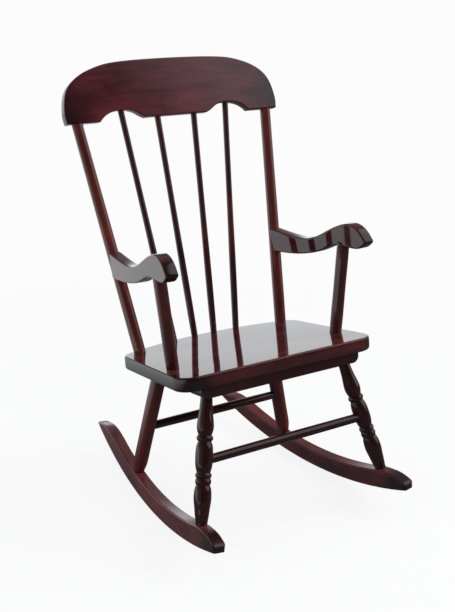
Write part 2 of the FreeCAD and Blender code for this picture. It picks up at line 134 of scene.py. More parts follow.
def turned_shell(start: Array, end: Array, profile: Array, facets: int) -> Shell:
    """Turns a profile about the line from start to end.

    Formula: a point lies at start plus its distance along the axis, plus its radius times the cosine and sine of
    the turn along two directions square to the axis. Stain gathers where the radius is under its own running mean.

    Args:
        start: One end of the axis.
        end: The other end.
        profile: Rows of distance along the axis and radius, from start to end.
        facets: How many points go round.

    Returns:
        The closed surface, with a disc at each end.
    """
    start, end = np.asarray(start, float), np.asarray(end, float)
    axis = (end - start) / np.linalg.norm(end - start)
    side = np.cross(axis, [0.0, 1.0, 0.0] if abs(axis[1]) < MOSTLY_Y else [1.0, 0.0, 0.0])
    side /= np.linalg.norm(side)
    across = np.cross(axis, side)
    turn = np.linspace(0.0, 2 * np.pi, facets, endpoint=False)
    around = np.cos(turn)[:, None] * side + np.sin(turn)[:, None] * across
    rings = start + profile[:, :1, None] * axis + profile[:, 1:, None] * around[None]
    points = rings.reshape(-1, 3)
    faces = ring_faces(len(profile), facets).tolist()
    first = np.arange(facets)
    faces += [first[::-1].tolist(), (first + facets * (len(profile) - 1)).tolist()]
    radius = profile[:, 1]
    window = max(3, len(radius) // MEAN_SPAN)
    padded = np.pad(radius, window, mode="edge")
    mean = np.convolve(padded, np.ones(2 * window + 1) / (2 * window + 1), mode="valid")
    gathered = np.clip((mean - radius) / (FULL_GROOVE * radius.max()), 0.0, 1.0)
    return Shell(points, faces, gathered=np.repeat(gathered, facets))


def moved_in(outline: Array, distance: Array | float) -> Array:
    """Moves a closed outline inwards.

    Formula: a point moves along the sum of the inward normals of its two sides, divided by one plus their product,
    so that both sides move by the same distance. The outline runs anticlockwise.

    Args:
        outline: Rows of two coordinates.
        distance: How far the sides move.

    Returns:
        The outline's points after the move.
    """
    ahead = np.roll(outline, -1, axis=0) - outline
    ahead /= np.linalg.norm(ahead, axis=1)[:, None]
    normal = np.stack([-ahead[:, 1], ahead[:, 0]], axis=1)
    before = np.roll(normal, 1, axis=0)
    product = np.sum(normal * before, axis=1)[:, None]
    return outline + distance * (normal + before) / (1 + product)


def board_rings(
    outline: Array, thickness: float, edge: float, back_edge: float | None = None, steps: int = 6
) -> Array:
    """Gives the rings of a board's rim.

    Formula: from the front face's rim to the back's, the outline moves out along a quarter circle, runs straight
    across the thickness and moves in along another quarter circle. One more ring lies just inside on each face.

    Args:
        outline: The board's outline, anticlockwise, as rows of two coordinates.
        thickness: The board's thickness.
        edge: The radius of its edges.
        back_edge: The radius of the edges behind, where it differs.
        steps: How many faces make a quarter circle.

    Returns:
        An array of rings, points and three coordinates: the outline's two and the depth behind the front.
    """
    angle = np.linspace(0.0, np.pi / 2, steps + 1)
    back = edge if back_edge is None else back_edge
    inset, depth = 1 - np.sin(angle), 1 - np.cos(angle)
    beyond = INNER_RING * edge
    inset = np.concatenate([[edge + beyond], edge * inset, back * inset[::-1], [back + beyond]])
    depth = np.concatenate([[0.0], edge * depth, thickness - back * depth[::-1], [thickness]])
    flat = [np.column_stack([moved_in(outline, i), np.full(len(outline), d)]) for i, d in zip(inset, depth)]
    return np.stack(flat)


def board_shell(rings: Array) -> Shell:
    """Closes the rings of a board's rim with its two flat faces.

    Args:
        rings: What board_rings gives, moved to its place.

    Returns:
        The closed surface.
    """
    count, around = rings.shape[:2]
    faces = ring_faces(count, around)[:, ::-1].tolist()
    first = np.arange(around)
    faces += [first.tolist(), (first[::-1] + around * (count - 1)).tolist()]
    return Shell(rings.reshape(-1, 3), faces)


def added(name: str, data: bpy.types.ID) -> bpy.types.Object:
    """Adds an object with the given data to the scene."""
    made = bpy.data.objects.new(name, data)
    bpy.context.scene.collection.objects.link(made)
    return made


def piece(name: str, shell: Shell, material: bpy.types.Material, *nodes: str) -> None:
    """Makes an object of a surface that rides on the chair and stands for CAD nodes.

    Args:
        name: The object's name.
        shell: Its surface.
        material: Its material.
        nodes: The CAD nodes that it replaces.
    """
    mesh = bpy.data.meshes.new(name)
    mesh.from_pydata(shell.points.tolist(), [], shell.faces)
    mesh.polygons.foreach_set("use_smooth", np.arange(len(shell.faces)) < len(shell.faces) - shell.flat)
    gathered = mesh.attributes.new("gathered", "FLOAT", "POINT")
    gathered.data.foreach_set("value", np.full(len(shell.points), shell.gathered, np.float32))
    mesh.materials.append(material)
    mesh.update()
    made = added(name, mesh)
    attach(made, "root")
    if nodes:
        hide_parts(*nodes)


# Finishes

@dataclass(frozen=True)
class Ramp:
    """A smooth change from one value to another.

    Attributes:
        low: Where it starts.
        high: Where it ends.
        last: What it gives from its end on.
        first: What it gives up to its start.
    """

    low: float
    high: float
    last: float = 1.0
    first: float = 0.0


@dataclass(frozen=True)
class Pattern:
    """A noise that may be stretched along the grain.

    Attributes:
        scale: How often it changes in a metre, along the grain and twice across it.
        detail: How many finer layers it has.
        rough: How strong they are.
        warp: How far it is distorted.
    """

    scale: Triple
    detail: float
    rough: float
    warp: float = 0.0


class Graph:
    """Adds nodes to a node tree and links them."""

    def __init__(self, tree: bpy.types.NodeTree) -> None:
        """Keeps the tree and empties it."""
        self.tree = tree
        tree.nodes.clear()

    def add(self, kind: str, inputs: dict[Any, Any] | None = None, **settings: Any) -> bpy.types.Node:
        """Adds a node.

        Args:
            kind: The node's type.
            inputs: Socket names or numbers, each with a value or with an output to link.
            settings: The node's own settings.

        Returns:
            The node.
        """
        node = self.tree.nodes.new(kind)
        for key, value in settings.items():
            setattr(node, key, value)
        for key, value in (inputs or {}).items():
            if isinstance(value, Socket):
                self.tree.links.new(value, node.inputs[key])
            else:
                node.inputs[key].default_value = value
        return node

    def math(self, operation: str, *values: Any) -> Socket:
        """Adds a Math node and gives its output."""
        return self.add("ShaderNodeMath", dict(enumerate(values)), operation=operation).outputs[0]

    def vector(self, operation: str, *values: Any) -> bpy.types.bpy_prop_collection:
        """Adds a Vector Math node and gives its outputs."""
        return self.add("ShaderNodeVectorMath", dict(enumerate(values)), operation=operation).outputs

    def ranged(self, value: Socket, ramp: Ramp) -> Socket:
        """Takes a value along a ramp and gives the result."""
        return self.add("ShaderNodeMapRange", {
            "Value": value, "From Min": ramp.low, "From Max": ramp.high, "To Min": ramp.first,
            "To Max": ramp.last}, interpolation_type="SMOOTHSTEP").outputs[0]

    def noise(self, place: Socket, pattern: Pattern) -> Socket:
        """Adds a pattern's noise and gives its value."""
        return self.add("ShaderNodeTexNoise", {
            "Vector": self.vector("MULTIPLY", place, pattern.scale)[0], "Scale": 1.0, "Detail": pattern.detail,
            "Roughness": pattern.rough, "Distortion": pattern.warp}).outputs[0]

    def mixed(self, share: Socket, first: Any, last: Any) -> Socket:
        """Mixes two colours, each a value or an output, and gives the result."""
        ends = [end if isinstance(end, Socket) else (*end, 1.0) for end in (first, last)]
        return self.add("ShaderNodeMix", {0: share, 6: ends[0], 7: ends[1]}, data_type="RGBA").outputs[2]


def blank_material(name: str) -> tuple[bpy.types.Material, Graph]:
    """Makes a material with no nodes yet."""
    made = bpy.data.materials.new(name)
    made.use_nodes = True
    return made, Graph(made.node_tree)


@dataclass(frozen=True)
class GrainGroup:
    """The pattern of stained wood: long streaks, short pores, blotches of stain and darker end grain.

    Attributes:
        streak: The long streaks.
        fine: The fibres between them.
        pore: The pores.
        blotch: How readily the wood takes the stain.
        fine_part: How much the fibres add to the streaks.
        streaked: Where the streaks are dark.
        pale: Where the wood takes less stain.
        deep: Where it takes more.
        open_pore: Where a pore is open.
        end_strength: How far end grain takes its own colour.
        gathered_strength: How far gathered stain takes the dark colour.
        rough: The lacquer's roughness, and what the fibres and the blotches add to it.
        relief: How high the streaks and the fibres stand, and how deep the pores are.
    """

    name: str = "stained_grain"
    streak: Pattern = Pattern((7.0, 150.0, 150.0), 4.0, 0.62, 0.9)
    fine: Pattern = Pattern((22.0, 620.0, 620.0), 2.0, 0.5)
    pore: Pattern = Pattern((110.0, 1500.0, 1500.0), 1.0, 0.5)
    blotch: Pattern = Pattern((9.0, 26.0, 26.0), 3.0, 0.55, 0.4)
    fine_part: float = 0.35
    streaked: Ramp = Ramp(0.46, 0.92)
    pale: Ramp = Ramp(0.52, 0.72, 0.7)
    deep: Ramp = Ramp(0.5, 0.3, 0.75)
    open_pore: Ramp = Ramp(0.6, 0.68, 0.14)
    end_strength: float = 0.9
    gathered_strength: float = 0.8
    rough: Triple = (0.02, 0.01, 0.03)
    relief: Triple = (0.5, 0.1, 0.1)

    def build(self) -> bpy.types.NodeTree:
        """Builds the node group once.

        Returns:
            The group, whose outputs are the colour, the roughness and the height of the surface.
        """
        tree = bpy.data.node_groups.new(self.name, "ShaderNodeTree")
        for in_out, kind, names in (
                ("INPUT", "Vector", ("Place",)), ("INPUT", "Float", ("End grain", "Gathered")),
                ("INPUT", "Color", ("Dark", "Middle", "Light", "End")), ("INPUT", "Float", ("Figure",)),
                ("OUTPUT", "Color", ("Color",)), ("OUTPUT", "Float", ("Roughness", "Height"))):
            for name in names:
                tree.interface.new_socket(name, in_out=in_out, socket_type="NodeSocket" + kind)
        graph = Graph(tree)
        times = partial(graph.math, "MULTIPLY")
        given = graph.add("NodeGroupInput").outputs
        streak, fine, pore, blotch = (
            graph.noise(given["Place"], pattern) for pattern in (self.streak, self.fine, self.pore, self.blotch))
        band = graph.ranged(graph.math("ADD", streak, times(fine, self.fine_part)), self.streaked)
        colour = graph.mixed(times(band, given["Figure"]), given["Middle"], given["Dark"])
        colour = graph.mixed(graph.ranged(blotch, self.pale), colour, given["Light"])
        colour = graph.mixed(graph.ranged(blotch, self.deep), colour, given["Dark"])
        opened = graph.ranged(pore, self.open_pore)
        colour = graph.mixed(opened, colour, given["Dark"])
        # End grain also carries a piece's darkening, which on the seat and the rockers is painted shade.
        colour = graph.mixed(times(given["End grain"], self.end_strength), colour, given["End"])
        colour = graph.mixed(times(given["Gathered"], self.gathered_strength), colour, given["Dark"])
        rough = graph.math("ADD", times(fine, self.rough[1]), times(blotch, self.rough[2]))
        height = graph.math("ADD", times(streak, self.relief[0]), times(fine, self.relief[1]))
        graph.add("NodeGroupOutput", {
            "Color": colour, "Roughness": graph.math("ADD", rough, self.rough[0]),
            "Height": graph.math("SUBTRACT", height, times(opened, self.relief[2]))})
        return tree


@dataclass(frozen=True)
class Darkening:
    """Where a piece is painted darker: past a plane, or past one on each side. On the seat's near front corner and
    on the rockers' noses this is painted shade; on the crest it darkens both ends.

    Attributes:
        toward: The direction in which it darkens.
        edge: Where that starts and ends along the direction.
        mirrored: Whether the other side does the same.
        ragged: How far the darkened patch's edge wanders, in metres.
        cloud: The pattern by which it wanders.
    """

    toward: Triple
    edge: Ramp
    mirrored: bool = False
    ragged: float = 0.05
    cloud: Pattern = Pattern((30.0, 30.0, 60.0), 3.0, 0.6)

    def mask(self, graph: Graph, place: Socket) -> Socket:
        """Adds the nodes that measure how far the piece is darkened.

        Formula: the place along the direction, moved by the cloud's distance from its mean, goes along the ramp.

        Args:
            graph: The material's nodes.
            place: The place on the piece.

        Returns:
            The darkened share, from 0 to 1.
        """
        wander = graph.math("MULTIPLY", graph.math("SUBTRACT", graph.noise(place, self.cloud), 0.5), self.ragged)
        if self.mirrored:
            place = graph.vector("ABSOLUTE", place)[0]
        reach = graph.vector("DOT_PRODUCT", place, self.toward)["Value"]
        return graph.ranged(graph.math("ADD", reach, wander), self.edge)


@dataclass(frozen=True)
class StainedWood:
    """Wood under a red-brown stain and a clear lacquer.

    Attributes:
        dark: The stain where it gathers.
        middle: Its usual colour.
        light: Its redder colour, where the wood takes less of it.
        end: Its colour on end grain, which drinks the most of it, and where the darkening paints a piece darker.
        figure: How strongly the streaks show.
        ior: The lacquer's index of refraction.
        relief: How deep the grain telegraphs through the lacquer.
        end_grain: The cosines between the surface's normal and the grain at which end grain starts and is full.
        darkening: Where the piece is painted darker, if anywhere; on the seat and the rockers this is painted
            shade.
        dull: How much rougher than a full gloss the lacquer is.
        drift: How far the pattern moves from one piece to the next.
    """

    dark: Colour = (0.026, 0.005, 0.006)
    middle: Colour = (0.084, 0.0175, 0.0205)
    light: Colour = (0.125, 0.02, 0.022)
    end: Colour = (0.012, 0.004, 0.004)
    figure: float = 0.45
    ior: float = 1.52
    relief: float = 0.000012
    end_grain: Ramp = Ramp(0.2, 0.65)
    darkening: Darkening | None = None
    dull: float = 0.0
    drift: Triple = (3.7, 1.3, 2.1)

    def material(
        self, name: str, group: bpy.types.NodeTree, axis: Sequence[float], count: int
    ) -> bpy.types.Material:
        """Makes the material of one piece.

        Args:
            name: The material's name.
            group: The grain's node group.
            axis: The direction of the grain.
            count: The piece's number, which moves the pattern, so that no two pieces share it.

        Returns:
            The material.
        """
        made, graph = blank_material(name)
        along = Vector(axis).normalized()
        place = graph.add("ShaderNodeTexCoord").outputs
        mapped = graph.add("ShaderNodeMapping", {
            "Vector": place["Object"], "Rotation": along.rotation_difference(Vector((1.0, 0.0, 0.0))).to_euler(),
            "Location": tuple(step * count for step in self.drift)})
        facing = graph.math("ABSOLUTE", graph.vector("DOT_PRODUCT", place["Normal"], along)["Value"])
        end = graph.ranged(facing, self.end_grain)
        # The darkening (painted shade on the seat's corner and the rockers' noses) joins the end grain and takes
        # the end grain's colour.
        if self.darkening:
            end = graph.math("MAXIMUM", end, self.darkening.mask(graph, place["Object"]))
        gathered = graph.add("ShaderNodeAttribute", attribute_name="gathered", attribute_type="GEOMETRY")
        grain = graph.add("ShaderNodeGroup", {
            "Place": mapped.outputs[0], "End grain": end, "Gathered": gathered.outputs["Fac"],
            "Dark": (*self.dark, 1.0), "Middle": (*self.middle, 1.0), "Light": (*self.light, 1.0),
            "End": (*self.end, 1.0), "Figure": self.figure}, node_tree=group)
        bump = graph.add("ShaderNodeBump", {
            "Strength": 1.0, "Distance": self.relief, "Height": grain.outputs["Height"]})
        rough = graph.math("ADD", grain.outputs["Roughness"], self.dull)
        shader = graph.add("ShaderNodeBsdfPrincipled", {
            "Base Color": grain.outputs["Color"], "Roughness": rough, "IOR": self.ior, "Normal": bump.outputs[0]})
        graph.add("ShaderNodeOutputMaterial", {"Surface": shader.outputs[0]})
        return made


@dataclass(frozen=True)
class ScrewSteel:
    """Plated steel with faint turning marks.

    Attributes:
        colour: The plating's colour.
        groove: Its colour in the marks.
        marks: The pattern of the marks.
        rough: How the roughness rises with the pattern.
        bump: How strongly the marks show.
        relief: How deep they are.
    """

    colour: Colour = (0.46, 0.44, 0.4)
    groove: Colour = (0.322, 0.308, 0.28)
    marks: Pattern = Pattern((900.0, 900.0, 900.0), 2.0, 0.6)
    rough: Ramp = Ramp(0.2, 0.8, 0.44, 0.24)
    bump: float = 0.4
    relief: float = 0.00002

    def material(self) -> bpy.types.Material:
        """Makes the material of the screws.

        Returns:
            The material.
        """
        made, graph = blank_material("screw_steel")
        marks = graph.noise(graph.add("ShaderNodeTexCoord").outputs["Object"], self.marks)
        bump = graph.add("ShaderNodeBump", {"Strength": self.bump, "Distance": self.relief, "Height": marks})
        shader = graph.add("ShaderNodeBsdfPrincipled", {
            "Base Color": graph.mixed(marks, self.groove, self.colour), "Metallic": 1.0,
            "Roughness": graph.ranged(marks, self.rough), "Normal": bump.outputs[0]})
        graph.add("ShaderNodeOutputMaterial", {"Surface": shader.outputs[0]})
        return made


class Cut(Enum):
    """How a piece was cut, with the colour that it is given; SHADED is a darker copy that paints the shade under
    the seat.
    """

    SEAT = StainedWood(
        middle=(0.066, 0.014, 0.015), light=(0.11, 0.019, 0.02), end_grain=Ramp(0.06, 0.4),
        # Painted shade: the seat's front-left corner is darkened.
        darkening=Darkening((-0.7, -0.7, 0.0), Ramp(0.183, 0.199), ragged=0.012))
    CREST = StainedWood(
        middle=(0.086, 0.0185, 0.0245), light=(0.14, 0.0235, 0.031),
        darkening=Darkening((1.0, 0.0, -0.35), Ramp(-0.095, -0.02), mirrored=True))
    TURNED = StainedWood(middle=(0.105, 0.0175, 0.0135), light=(0.17, 0.03, 0.02), figure=0.5)
    ARM = StainedWood(middle=(0.055, 0.0135, 0.0155), light=(0.09, 0.02, 0.022))
    ROCKER = StainedWood(
        middle=(0.14, 0.027, 0.029), light=(0.22, 0.042, 0.046), figure=0.4,
        # Painted shade: the rockers' front ends, the noses, are darkened.
        darkening=Darkening((0.0, -1.0, 0.0), Ramp(0.182, 0.218), ragged=0.02), dull=0.13)
    SUPPORT = StainedWood(middle=(0.055, 0.011, 0.009), light=(0.09, 0.017, 0.013), figure=0.5)
    LEG = StainedWood(middle=(0.125, 0.0165, 0.0125), light=(0.19, 0.028, 0.018), figure=0.5)
    SLIM = StainedWood(middle=(0.042, 0.011, 0.0115), light=(0.075, 0.017, 0.016), figure=0.5)
    # A darker copy of the stain for the pieces under the seat (front legs, stretchers, batten): mostly painted
    # shade from the seat above, partly a thicker stain on the turned legs.
    SHADED = StainedWood(middle=(0.024, 0.0045, 0.0038), light=(0.045, 0.009, 0.007), figure=0.6)


class Finishes:
    """Hands out a material for each piece, all of one stained wood."""

    def __init__(self) -> None:
        """Builds the grain once."""
        self.group = GrainGroup().build()
        self.made = 0

    def wood(self, name: str, cut: Cut, axis: Sequence[float]) -> bpy.types.Material:
        """Makes the next piece's material, whose grain runs along the axis."""
        self.made += 1
        return cut.value.material("wood_" + name, self.group, axis, self.made)


# The chair

def turned(origin: Pair, angle: float, first: Any, second: Any) -> tuple[Any, Any]:
    """Gives an origin plus two distances after a turn from the first towards the second, in degrees."""
    cos, sin = math.cos(math.radians(angle)), math.sin(math.radians(angle))
    return origin[0] + first * cos - second * sin, origin[1] + first * sin + second * cos


def joined(x: Any, y: Any, z: Any) -> Array:
    """Gives the points that have these coordinates, each a number or an array."""
    return np.stack(np.broadcast_arrays(x, y, z), axis=-1)


@dataclass(frozen=True)
class Plan:
    """The sizes and places that several pieces share. The seat's front and the crest's corner are a y and a z."""

    seat_front: Pair = (-0.14425, 0.2735)
    seat_tilt: float = 9.5
    seat_depth: float = 0.252
    seat_front_width: float = 0.352
    seat_rear_width: float = 0.332
    seat_rear_bow: float = 0.036
    seat_thickness: float = 0.022
    batten_height: float = 0.015
    crest_half_width: float = 0.195
    crest_height: float = 0.096
    crest_thickness: float = 0.015
    crest_lean: float = 18.3
    crest_corner: Pair = (0.17415, 0.5913)
    rocker_thickness: float = 0.02
    rocker_edge: float = 0.0025
    rocker_mid_height: float = 0.0278
    rocker_top_radius: float = 0.588
    rocker_top_y: float = 0.00925
    rocker_half_spread: float = 0.1519
    rocker_toe_in: float = 5.4
    rocker_cant: float = 5.2
    post_base_inset: float = 0.0302
    post_inset: float = 0.0165
    post_top_inset: float = 0.0195

    def on_seat(self, x: float, back: Any, above: Any = 0.0) -> Array:
        """Gives the point at x, at a distance back from the seat's front edge and above its top face."""
        return joined(x, *turned(self.seat_front, -self.seat_tilt, back, above))

    def rear_radius(self) -> float:
        """Gives the radius of the seat's rear edge."""
        half = self.seat_rear_width / 2
        return (half ** 2 + self.seat_rear_bow ** 2) / (2 * self.seat_rear_bow)

    def rear_edge(self, x: float) -> float:
        """Gives how far back the seat's bowed rear edge is at x."""
        return self.seat_depth - self.rear_radius() + math.sqrt(self.rear_radius() ** 2 - x ** 2)

    def on_crest(self, x: Any, height: Any, depth: Any) -> Array:
        """Gives the point at x, at a height up the crest's front face and a depth behind it."""
        return joined(x, *turned(self.crest_corner, -self.crest_lean, depth, height))

    def on_rocker(self, along: float) -> Array:
        """Gives the point on the right rocker's upper edge at a distance along it."""
        cant = math.radians(self.rocker_cant)
        rise = self.rocker_top_radius - math.sqrt(self.rocker_top_radius ** 2 - (along - self.rocker_top_y) ** 2)
        lift = (self.rocker_thickness / 2 - self.rocker_edge) * math.sin(cant)
        lift -= (self.rocker_mid_height - self.rocker_edge) * (1 - math.cos(cant))
        x, y = turned((self.rocker_half_spread, 0.0), self.rocker_toe_in, -rise * math.sin(cant), along)
        return np.array([x, y, self.rocker_mid_height + rise * math.cos(cant) + lift])

    def post_line(self) -> tuple[Array, Array]:
        """Gives the base and top of the right back post."""
        x = self.seat_rear_width / 2 - self.post_base_inset
        base = self.on_seat(x, self.rear_edge(x) - self.post_inset)
        return base, self.on_crest(self.crest_half_width - self.post_top_inset, 0.0, self.crest_thickness / 2)

    def on_post(self, height: float) -> Array:
        """Gives the point on the right back post's axis at a height."""
        base, top = self.post_line()
        return base + (top - base) * (height - base[2]) / (top[2] - base[2])


def flipped(points: Array) -> Array:
    """Gives points of a plane or of space on the chair's other side."""
    return points * np.array([-1.0, 1.0, 1.0])[:points.shape[-1]]


@dataclass(frozen=True)
class Turning:
    """A turned rod.

    Attributes:
        sections: Lists of shares of the length and of the radius, each drawn as one smooth curve.
        radius: The largest radius.
        embed: How far each end runs into what it stands in.
        fine: How many points each section has.
        facets: How many points go round.
        joint_reach: How far from its ends stain gathers.
        joint_stain: How much of it gathers at the ends.
    """

    sections: Sequence[Sequence[Pair]]
    radius: float
    embed: float = 0.003
    fine: int = 26
    facets: int = 72
    joint_reach: float = 0.0022
    joint_stain: float = 0.8

    def shell(self, start: Array, end: Array) -> Shell:
        """Turns the rod between two points.

        Args:
            start: Where the first section begins.
            end: Where the last section ends.

        Returns:
            Its surface, which runs into both ends' pieces.
        """
        length = float(np.linalg.norm(end - start))
        curves = [spline_through(np.array(section), self.fine) for section in self.sections]
        profile = np.concatenate([curve[1:] if i else curve for i, curve in enumerate(curves)])
        profile = profile * np.array([length, self.radius])
        profile = np.concatenate([
            [[-self.embed, profile[0, 1]]], profile, [[length + self.embed, profile[-1, 1]]]])
        shell = turned_shell(start, end, profile, self.facets)
        near = np.minimum(profile[:, 0], length - profile[:, 0])
        joint = np.clip(1 - near / self.joint_reach, 0.0, 1.0) * self.joint_stain
        shell.gathered = np.maximum(shell.gathered, np.repeat(joint, self.facets))
        return shell


@dataclass
class TurnedFrame:
    """The turned rods: legs, stretchers, arm supports and spindles. A support's top lies at the given place."""

    plan: Plan
    finishes: Finishes
    support_top: Array
    front_leg_top: Pair = (0.1245, 0.0235)
    front_foot_y: float = -0.18175
    rear_leg_top: Pair = (0.103, 0.203)
    rear_foot_y: float = 0.06255
    front_stretcher_share: float = 0.507
    rear_stretcher_share: float = 0.585
    support_base: Pair = (0.15, 0.073)
    spindle_inset: float = 0.0105
    spindle_base_x: Pair = (0.0186, 0.06)
    spindle_top_x: Pair = (0.0338, 0.0975)
    spindle_top_shares: Pair = (0.024, 0.172)
    front_leg: Turning = Turning([
        [(0.0, 0.66), (0.105, 0.76), (0.184, 0.9), (0.239, 0.965), (0.279, 0.88), (0.31, 0.735)],
        [(0.31, 0.735), (0.318, 0.89), (0.331, 0.945), (0.344, 0.89), (0.352, 0.73)],
        [(0.352, 0.73), (0.382, 0.885), (0.422, 0.975), (0.48, 1.0), (0.541, 0.955), (0.577, 0.85), (0.599, 0.77)],
        [(0.599, 0.77), (0.607, 0.88), (0.619, 0.925), (0.631, 0.88), (0.64, 0.785)],
        [(0.64, 0.785), (0.653, 0.87), (0.667, 0.905), (0.681, 0.87), (0.692, 0.76)],
        [(0.692, 0.76), (0.719, 0.905), (0.756, 0.98), (0.792, 1.0), (0.828, 0.965), (0.877, 0.87), (0.923, 0.8),
         (0.958, 0.73), (1.0, 0.655)]], 0.013, fine=24)
    rear_leg: Turning = Turning([
        [(0.0, 0.97), (0.2, 1.0), (0.5, 0.99), (0.8, 0.97), (0.905, 0.955), (0.95, 0.86), (1.0, 0.72)]], 0.0121,
        fine=70)
    stretcher: Turning = Turning([
        [(0.0, 0.97), (0.25, 1.0), (0.5, 1.02), (0.75, 1.0), (1.0, 0.97)]], 0.0071, embed=0.0, fine=50, facets=56)
    support: Turning = Turning([
        [(0.0, 0.97), (0.2, 1.0), (0.5, 0.98), (0.8, 1.0), (1.0, 0.99)]], 0.0099, embed=0.004, fine=50)
    spindle: Turning = Turning([
        [(0.0, 0.93), (0.12, 0.98), (0.26, 1.0), (0.4, 0.95), (0.5, 0.9), (1.0, 0.89)]], 0.0057, embed=0.005,
        fine=80, facets=48)

    def rod(self, name: str, turning: Turning, line: tuple[Array, Array], cut: Cut) -> None:
        """Turns one rod between the line's two points, which stands for the CAD node of its name."""
        start, end = line
        piece(name + "_turned", turning.shell(start, end), self.finishes.wood(name, cut, end - start), name)

    def pair(self, name: str, turning: Turning, line: tuple[Array, Array], cut: Cut) -> None:
        """Turns a rod on each side of the chair."""
        self.rod(name + "_right", turning, line, cut)
        self.rod(name + "_left", turning, (flipped(line[0]), flipped(line[1])), cut)

    def build(self) -> None:
        """Turns every rod."""
        plan = self.plan
        below = plan.seat_thickness
        front = (plan.on_seat(*self.front_leg_top, -below - plan.batten_height), plan.on_rocker(self.front_foot_y))
        rear = (plan.on_seat(*self.rear_leg_top, -below), plan.on_rocker(self.rear_foot_y))
        # Front legs take the darker copy: painted shade under the seat.
        self.pair("front_leg", self.front_leg, front, Cut.SHADED)
        self.pair("rear_leg", self.rear_leg, rear, Cut.LEG)
        for name, line, share in (("front_stretcher", front, self.front_stretcher_share),
                                  ("rear_stretcher", rear, self.rear_stretcher_share)):
            right = line[0] + (line[1] - line[0]) * share
            # Stretchers take the darker copy: painted shade under the seat.
            self.rod(name, self.stretcher, (flipped(right), right), Cut.SHADED)
        self.pair("arm_support", self.support, (plan.on_seat(*self.support_base), self.support_top), Cut.SUPPORT)
        for i, name in enumerate(("spindle_inner", "spindle_outer")):
            x = self.spindle_base_x[i]
            base = plan.on_seat(x, plan.rear_edge(x) - self.spindle_inset)
            height = plan.crest_height * self.spindle_top_shares[i]
            top = plan.on_crest(self.spindle_top_x[i], height, plan.crest_thickness / 2)
            self.pair(name, self.spindle, (base, top), Cut.SLIM)


def arc_points(centre: Array, first: Array, last: Array, count: int) -> Array:
    """Gives points on the short arc about a centre.

    Formula: the angle runs evenly from that of the first point to that of the last, the short way round.

    Args:
        centre: The arc's centre.
        first: Its first point.
        last: Its last point.
        count: How many points to give.

    Returns:
        Rows of two coordinates.
    """
    start, end = first - centre, last - centre
    angle = math.atan2(start[1], start[0])
    turn = (math.atan2(end[1], end[0]) - angle + math.pi) % (2 * math.pi) - math.pi
    at = angle + turn * np.linspace(0.0, 1.0, count)
    return centre + np.linalg.norm(start) * np.stack([np.cos(at), np.sin(at)], axis=1)


@dataclass
class SeatBoard:
    """The seat: a tilted plank with rounded corners, a bowed rear edge and a slight hollow."""

    plan: Plan
    finishes: Finishes
    front_corner: float = 0.028
    rear_corner: float = 0.025
    edge: float = 0.0028
    lower_edge: float = 0.0058
    hollow: float = 0.0005
    rings: int = 30
    front_points: int = 24
    side_points: int = 20
    corner_points: int = 22
    rear_points: int = 28

    def outline(self) -> Array:
        """Works out the seat's outline.

        Formula: the right half runs from the middle of the front edge round a corner arc to the straight side,
        round a second arc that touches the side and the rear circle, and along that circle to the middle. The left
        half is its mirror image.

        Returns:
            Rows of x and distance back, anticlockwise.
        """
        plan = self.plan
        front = np.array([plan.seat_front_width / 2, 0.0])
        side = np.array([plan.seat_rear_width / 2, plan.seat_depth - plan.seat_rear_bow]) - front
        side /= np.linalg.norm(side)
        inward = np.array([-side[1], side[0]])
        radius = self.front_corner
        first = front + side * (radius - inward[1] * radius) / side[1] + inward * radius
        big = plan.rear_radius()
        middle = np.array([0.0, plan.seat_depth - big])
        base = front + inward * self.rear_corner
        reach = np.dot(side, base - middle)
        gap = (big - self.rear_corner) ** 2 - np.sum((base - middle) ** 2) + reach ** 2
        second = base + side * (-reach + math.sqrt(gap))
        out = (second - middle) / np.linalg.norm(second - middle)
        corner_start, corner_end = np.array([first[0], 0.0]), first - inward * radius
        side_end = second - inward * self.rear_corner
        half = np.concatenate([
            np.linspace([0.0, 0.0], corner_start, self.front_points)[:-1],
            arc_points(first, corner_start, corner_end, self.front_points),
            np.linspace(corner_end, side_end, self.side_points)[1:-1],
            arc_points(second, side_end, second + out * self.rear_corner, self.corner_points),
            arc_points(middle, middle + out * big, np.array([0.0, plan.seat_depth]), self.rear_points)[1:]])
        return np.concatenate([half, flipped(half[-2:0:-1])])

    def build(self) -> None:
        """Builds the seat.

        Formula: the rim's rings are closed below by one flat face, and above by rings that shrink to the middle of
        the board while they sink by the hollow's depth times the square of one minus their share squared.
        """
        outline = self.outline()
        rim = board_rings(outline, self.plan.seat_thickness, self.edge, self.lower_edge)
        centre = np.array([0.0, self.plan.seat_depth / 2])
        share = np.linspace(1.0, 0.0, self.rings, endpoint=False)[1:]
        top = centre + (rim[0, :, :2] - centre) * share[:, None, None]
        sink = np.broadcast_to((self.hollow * (1 - share ** 2) ** 2)[:, None], top.shape[:2])
        top = np.concatenate([top, sink[..., None]], axis=2)
        rings = np.concatenate([top[::-1], rim])
        x, back, depth = np.moveaxis(rings, -1, 0)
        shell = board_shell(self.plan.on_seat(x, back, -depth))
        piece("seat_board", shell, self.finishes.wood("seat", Cut.SEAT, (1.0, 0.0, 0.0)), "seat")


